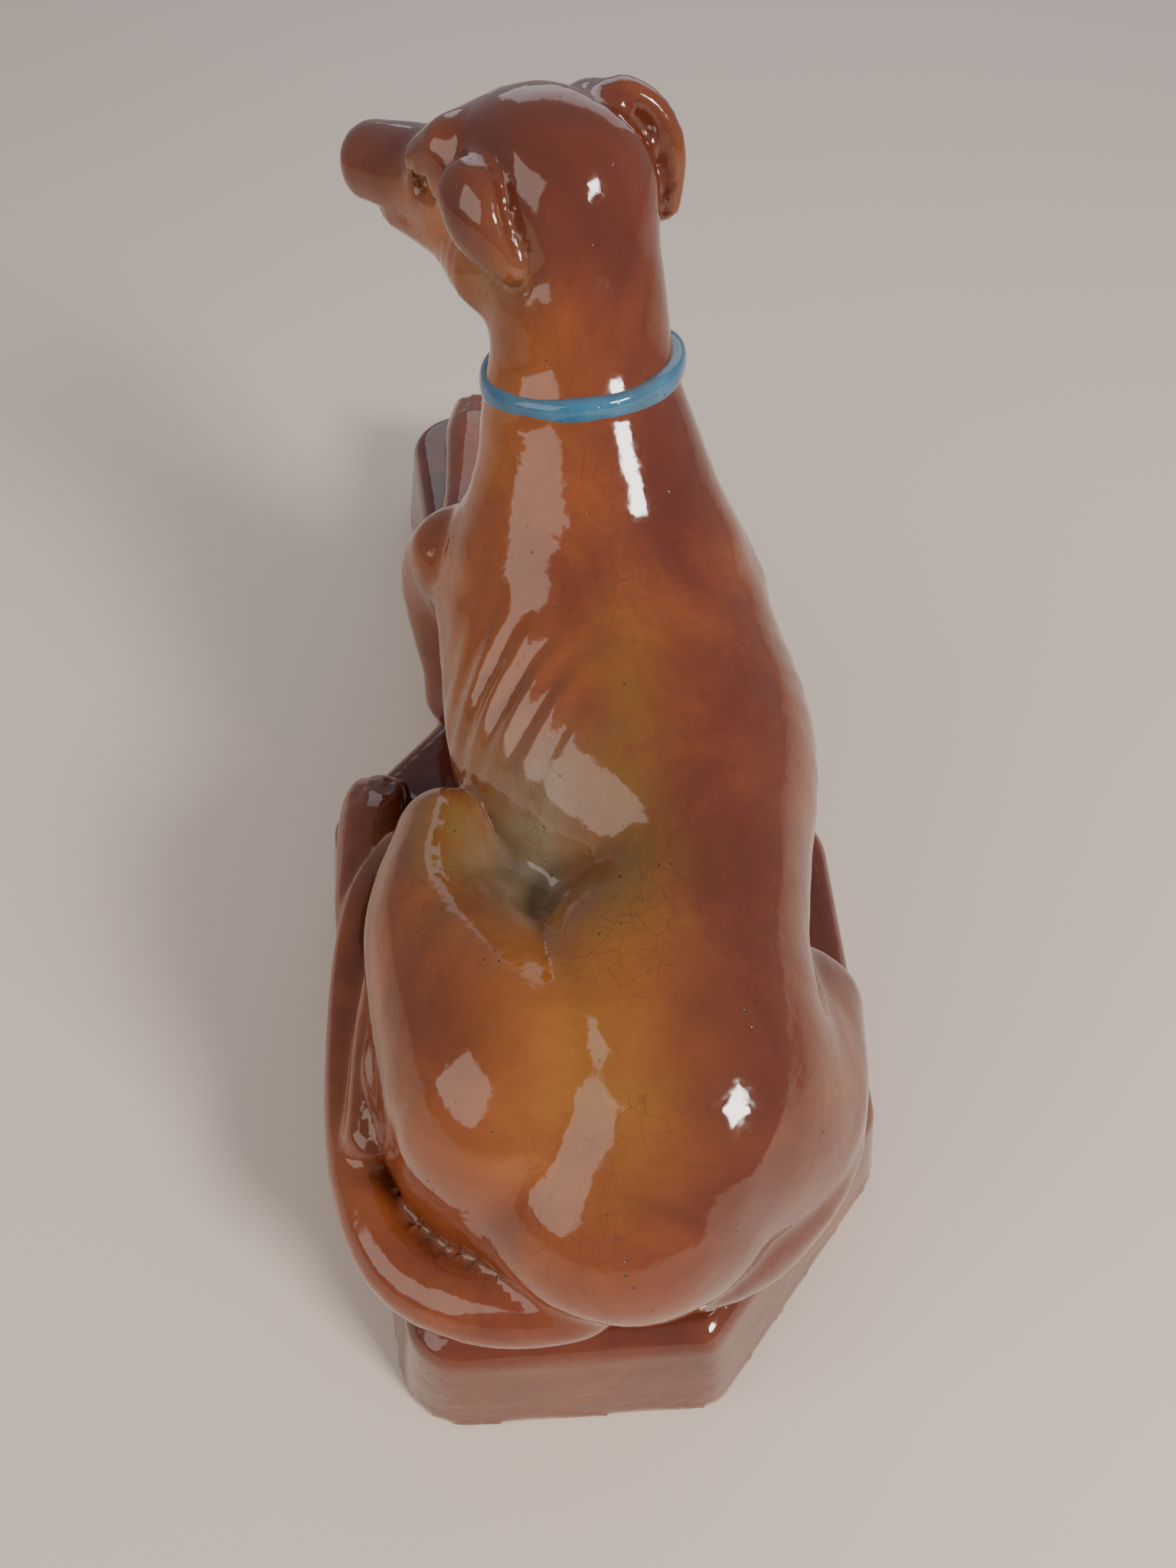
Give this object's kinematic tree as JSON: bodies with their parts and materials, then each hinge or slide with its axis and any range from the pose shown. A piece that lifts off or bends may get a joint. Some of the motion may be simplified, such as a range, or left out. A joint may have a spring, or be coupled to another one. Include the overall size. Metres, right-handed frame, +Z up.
{
  "type": "greyhound figurine",
  "caption": "Glazed earthenware greyhound lying on a long narrow plinth, head turned to its left over the forelegs, with a raised collar.",
  "frame": {"origin": "centre of the bounding box at the plinth's flat underside", "axes": "+Z up, the dog lies along Y with its forelegs towards -Y, its left side towards +X"},
  "size_m": [0.1572, 0.3756, 0.2137],
  "materials": {
    "glaze": "very glossy mottled amber to red-brown glaze pooling olive and grey-green in the hollows, blue collar"
  },
  "bodies": {
    "root": {"greyhound_figurine": "glaze"}
  },
  "joints": []
}
